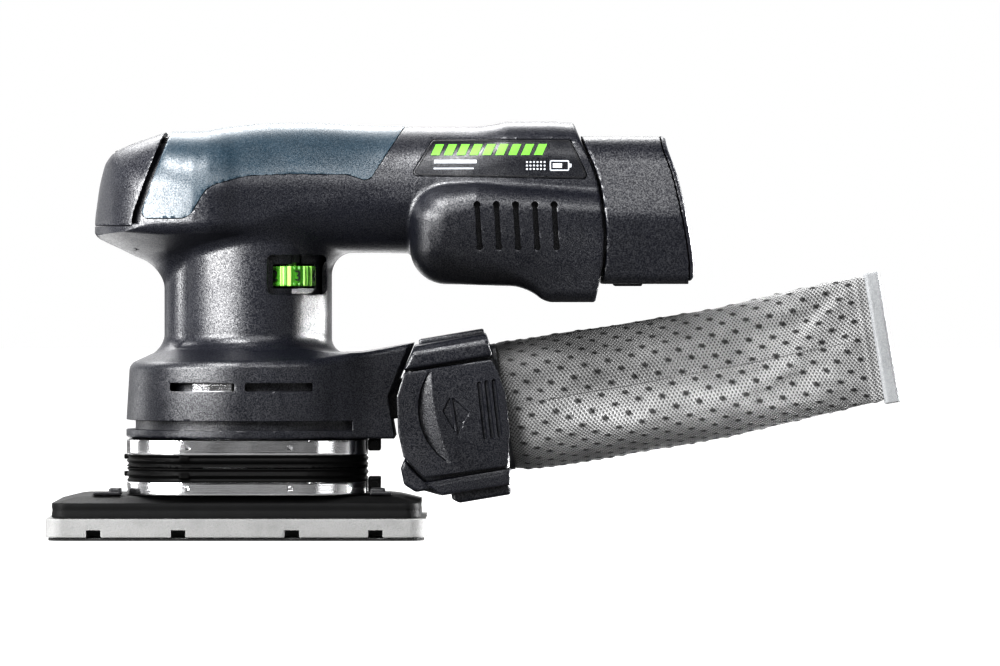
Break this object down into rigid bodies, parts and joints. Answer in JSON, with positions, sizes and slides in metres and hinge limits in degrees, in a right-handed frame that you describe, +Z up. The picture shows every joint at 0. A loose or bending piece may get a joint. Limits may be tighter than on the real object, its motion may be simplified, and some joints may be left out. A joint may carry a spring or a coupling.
{
  "type": "cordless orbital detail sander",
  "caption": "Palm-grip cordless orbital sander: domed handle on a round neck, rectangular pad on a banded rubber boot, slide-on battery and fleece dust bag.",
  "frame": {"origin": "motor axis where it meets the sanding face", "axes": "+Z up along the motor axis, +X to the battery and dust bag, +Y to the user's left when facing along +X"},
  "size_m": [0.2932, 0.08, 0.1435],
  "materials": {
    "shell_plastic": "fine-grained charcoal moulding",
    "grip_rubber": "blue-grey soft overmould",
    "button_plastic": "black satin",
    "boot_rubber": "black matt rubber",
    "label_film": null,
    "dial_plastic": "bright green ribbed",
    "charge_plastic": "green satin",
    "band_steel": "polished strip",
    "bearing_steel": "ground",
    "motor_iron": "laminated",
    "cast_aluminium": "die cast",
    "winding_copper": "enamelled copper",
    "board_resin": "green solder mask",
    "polymer": "black glass-filled",
    "pad_foam": "light grey closed-cell foam",
    "plate_rubber": "black moulded",
    "hook_fabric": "black hook fastener",
    "bag_fleece": "grey filter fleece with embossed dots",
    "strip_plastic": "light grey satin",
    "cell_sleeve": "blue shrink sleeve",
    "screw_steel": "black oxide"
  },
  "bodies": {
    "housing": {"left_housing_shell": "shell_plastic", "right_housing_shell": "shell_plastic", "nose_cap": "shell_plastic", "soft_grip": "grip_rubber", "left_label": "label_film", "right_label": "label_film", "housing_screw_1": "screw_steel", "housing_screw_2": "screw_steel", "housing_screw_3": "screw_steel", "housing_screw_4": "screw_steel", "base_plate": "polymer", "bearing_plate": "cast_aluminium", "lower_bearing": "bearing_steel", "upper_bearing_holder": "cast_aluminium", "upper_bearing": "bearing_steel", "stator_core": "motor_iron", "upper_winding": "winding_copper", "lower_winding": "winding_copper", "switch_module": "polymer", "circuit_board": "board_resin", "battery_terminal_block": "polymer", "dial_potentiometer": "polymer", "upper_boot": "boot_rubber", "upper_band": "band_steel", "upper_band_clamp": "button_plastic", "flexible_leg_1": "boot_rubber", "flexible_leg_2": "boot_rubber", "flexible_leg_3": "boot_rubber", "flexible_leg_4": "boot_rubber"},
    "rotor": {"motor_shaft": "bearing_steel", "rotor_magnet": "motor_iron", "dust_fan": "polymer", "counterweight": "bearing_steel"},
    "pad": {"pad_bearing": "bearing_steel", "pad_carrier": "cast_aluminium", "backing_plate": "plate_rubber", "foam_pad": "pad_foam", "hook_sheet": "hook_fabric", "front_pad_clip": "button_plastic", "rear_pad_clip": "button_plastic", "lower_boot": "boot_rubber", "lower_band": "band_steel", "lower_band_clamp": "button_plastic"},
    "dial": {"speed_dial": "dial_plastic"},
    "rocker": {"power_rocker": "button_plastic"},
    "battery": {"battery_case": "shell_plastic", "battery_end_cap": "shell_plastic", "battery_cell_1": "cell_sleeve", "battery_cell_2": "cell_sleeve", "battery_cell_3": "cell_sleeve", "battery_cell_4": "cell_sleeve", "battery_cell_5": "cell_sleeve"},
    "release_button": {"battery_release_button": "button_plastic"},
    "charge_button": {"charge_button": "charge_plastic"},
    "outlet": {"outlet_adapter": "shell_plastic", "bag_frame": "polymer", "dust_bag": "bag_fleece"},
    "left_latch": {"left_latch": "shell_plastic"},
    "right_latch": {"right_latch": "shell_plastic"},
    "closure_strip": {"bag_closure_strip": "strip_plastic"}
  },
  "joints": [
    {"name": "rotor_spin", "type": "hinge", "parent": "housing", "child": "rotor", "pos_m": [0, 0, 0.06], "axis": [0, 0, 1], "continuous": true},
    {"name": "pad_orbit", "type": "hinge", "parent": "rotor", "child": "pad", "pos_m": [0.001, 0, 0.026], "axis": [0, 0, 1], "continuous": true},
    {"name": "speed_dial_turn", "type": "hinge", "parent": "housing", "child": "dial", "pos_m": [0.0164, -0.0154, 0.09], "axis": [0, 0, 1], "range_deg": [-140, 140]},
    {"name": "power_rocker_tilt", "type": "hinge", "parent": "housing", "child": "rocker", "pos_m": [-0.037, 0, 0.1346], "axis": [0, 1, 0], "range_deg": [-6, 6]},
    {"name": "battery_slide", "type": "slide", "parent": "housing", "child": "battery", "axis": [1, 0, 0], "range_m": [0, 0.04]},
    {"name": "battery_release_press", "type": "slide", "parent": "battery", "child": "release_button", "axis": [0, 0, 1], "range_m": [0, 0.0018]},
    {"name": "charge_button_press", "type": "slide", "parent": "battery", "child": "charge_button", "axis": [-1, 0, 0], "range_m": [0, 0.001]},
    {"name": "outlet_pull", "type": "slide", "parent": "housing", "child": "outlet", "axis": [0.9863, 0, 0.165], "range_m": [0, 0.02]},
    {"name": "left_latch_squeeze", "type": "hinge", "parent": "outlet", "child": "left_latch", "pos_m": [0.07154, -0.0255, 0.04155], "axis": [-0.165, 0, 0.9863], "range_deg": [0, 4]},
    {"name": "right_latch_squeeze", "type": "hinge", "parent": "outlet", "child": "right_latch", "pos_m": [0.07154, 0.0255, 0.04155], "axis": [0.165, 0, -0.9863], "range_deg": [0, 4]},
    {"name": "closure_strip_slide", "type": "slide", "parent": "outlet", "child": "closure_strip", "axis": [-0.165, 0, 0.9863], "range_m": [0, 0.05]}
  ],
  "couplings": [
    {"joint": "pad_orbit", "follows": "rotor_spin", "ratio": -1}
  ]
}
